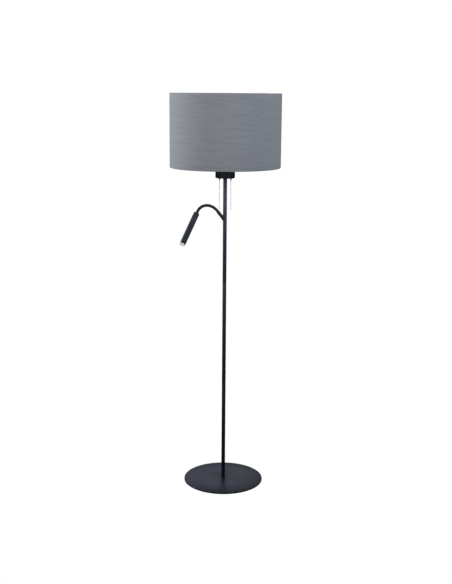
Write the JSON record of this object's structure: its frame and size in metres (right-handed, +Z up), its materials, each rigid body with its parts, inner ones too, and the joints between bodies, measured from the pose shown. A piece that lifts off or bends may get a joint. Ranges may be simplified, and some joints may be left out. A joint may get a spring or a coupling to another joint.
{
  "type": "floor lamp",
  "caption": "Floor lamp with a drum shade, a round plate base, two pull-chain switches and a reading spot on a bendable arm.",
  "frame": {"origin": "on the floor under the centre of the round base, on the pole axis", "axes": "+Z up along the pole; the reading spot's arm leaves the pole towards -X and the spot leans to -Y, which is the front"},
  "size_m": [0.45, 0.4498, 1.64],
  "materials": {
    "stand_paint": "satin blue-grey powder coat",
    "spot_coat": "satin blue-grey coat on aluminium",
    "foot_foam": "matte foam",
    "zinc": "zinc plated",
    "screw_steel": "blackened",
    "nickel": "bright nickel",
    "spring_steel": "bright wire",
    "black_plastic": "moulded",
    "lead_sheath": "soft sheath",
    "white_plastic": "moulded",
    "bulb_opal": "frosted",
    "bulb_cap_metal": "plated thread",
    "shade_cloth": "slub weave on a white liner",
    "shade_wire": "white coated wire",
    "neck_steel": "black wound sleeve",
    "spot_aluminium": "machined",
    "spot_bezel_silver": "satin silver",
    "board": "white solder mask",
    "lens_clear": "clear moulding"
  },
  "bodies": {
    "stand": {"base_plate": "stand_paint", "base_pad": "foot_foam", "foot_washer": "zinc", "foot_nut": "zinc", "foot_nipple": "zinc", "lower_pole": "stand_paint", "middle_pole": "stand_paint", "upper_pole": "stand_paint", "pole_thread_inserts": "zinc", "pole_joint_nipples": "zinc", "cable_outlet_bush": "black_plastic", "mains_lead_in_pole": "lead_sheath", "spot_lead_in_pole": "lead_sheath", "cup_shell": "stand_paint", "cup_lid_screws": "screw_steel", "cup_lid": "stand_paint", "cup_nipples": "zinc", "cup_lock_nuts": "zinc", "terminal_block": "white_plastic", "led_driver": "black_plastic", "pull_bell_left": "nickel", "pull_switch_left": "black_plastic", "pull_spring_left": "spring_steel", "pull_bell_right": "nickel", "pull_switch_right": "black_plastic", "pull_spring_right": "spring_steel", "lampholder_cap": "black_plastic", "lampholder_insert": "white_plastic", "lampholder_sleeve": "black_plastic", "shade_clamp_ring": "black_plastic", "bulb_screw_cap": "bulb_cap_metal", "bulb_housing": "white_plastic", "bulb_globe": "bulb_opal", "shade_skin": "shade_cloth", "shade_bottom_ring": "shade_wire", "shade_top_ring": "shade_wire", "shade_spider": "shade_wire", "branch_tube": "stand_paint", "neck_root_ferrule": "zinc"},
    "pull_left": {"pull_plunger_left": "nickel", "pull_chain_left": "nickel"},
    "pull_right": {"pull_plunger_right": "nickel", "pull_chain_right": "nickel"},
    "neck_1": {"neck_link_1": "neck_steel"},
    "neck_2": {"neck_link_2": "neck_steel"},
    "neck_3": {"neck_link_3": "neck_steel"},
    "neck_4": {"neck_link_4": "neck_steel"},
    "neck_5": {"neck_link_5": "neck_steel"},
    "neck_6": {"neck_link_6": "neck_steel"},
    "neck_7": {"neck_link_7": "neck_steel"},
    "neck_8": {"neck_link_8": "neck_steel"},
    "spot": {"spot_rear_cap": "spot_coat", "spot_clamp_screw": "screw_steel", "spot_tube": "spot_coat", "spot_heat_spreader": "spot_aluminium", "spot_led_board": "board", "spot_lens": "lens_clear", "spot_bezel": "spot_bezel_silver", "spot_ferrule": "zinc"}
  },
  "joints": [
    {"name": "pull_switch_left_slide", "type": "slide", "parent": "stand", "child": "pull_left", "axis": [0, 0, -1], "range_m": [0, 0.008], "stiffness_N_per_m": 500, "springref_m": -0.006, "deforming": ["pull_spring_left"]},
    {"name": "pull_switch_right_slide", "type": "slide", "parent": "stand", "child": "pull_right", "axis": [0, 0, -1], "range_m": [0, 0.008], "stiffness_N_per_m": 500, "springref_m": -0.006, "deforming": ["pull_spring_right"]},
    {"name": "neck_bend_1", "type": "hinge", "parent": "stand", "child": "neck_1", "pos_m": [-0.03078, 0, 1.1674], "axis": [0.4797, -0.7934, 0.3748], "range_deg": [-14, 4]},
    {"name": "neck_swing_1", "type": "hinge", "parent": "neck_1", "child": "neck_2", "pos_m": [-0.04012, -0.001, 1.17722], "axis": [0.4585, 0.5908, 0.6639], "range_deg": [-12, 12]},
    {"name": "neck_bend_2", "type": "hinge", "parent": "neck_2", "child": "neck_3", "pos_m": [-0.05097, -0.00396, 1.18486], "axis": [0.4797, -0.7934, 0.3748], "range_deg": [-14, 4]},
    {"name": "neck_swing_2", "type": "hinge", "parent": "neck_3", "child": "neck_4", "pos_m": [-0.06269, -0.00868, 1.18986], "axis": [0.0555, 0.4537, 0.8894], "range_deg": [-12, 12]},
    {"name": "neck_bend_3", "type": "hinge", "parent": "neck_4", "child": "neck_5", "pos_m": [-0.07459, -0.0149, 1.19192], "axis": [0.4797, -0.7934, 0.3748], "range_deg": [-14, 4]},
    {"name": "neck_swing_3", "type": "hinge", "parent": "neck_5", "child": "neck_6", "pos_m": [-0.08597, -0.02226, 1.19093], "axis": [-0.3604, 0.2113, 0.9086], "range_deg": [-12, 12]},
    {"name": "neck_bend_4", "type": "hinge", "parent": "neck_6", "child": "neck_7", "pos_m": [-0.09617, -0.0303, 1.18694], "axis": [0.4797, -0.7934, 0.3748], "range_deg": [-14, 4]},
    {"name": "neck_swing_4", "type": "hinge", "parent": "neck_7", "child": "neck_8", "pos_m": [-0.10458, -0.03858, 1.18019], "axis": [-0.6926, -0.0801, 0.7169], "range_deg": [-12, 12]},
    {"name": "neck_bend_5", "type": "hinge", "parent": "neck_8", "child": "spot", "pos_m": [-0.1107, -0.04659, 1.17108], "axis": [0.4797, -0.7934, 0.3748], "range_deg": [-14, 4]}
  ]
}
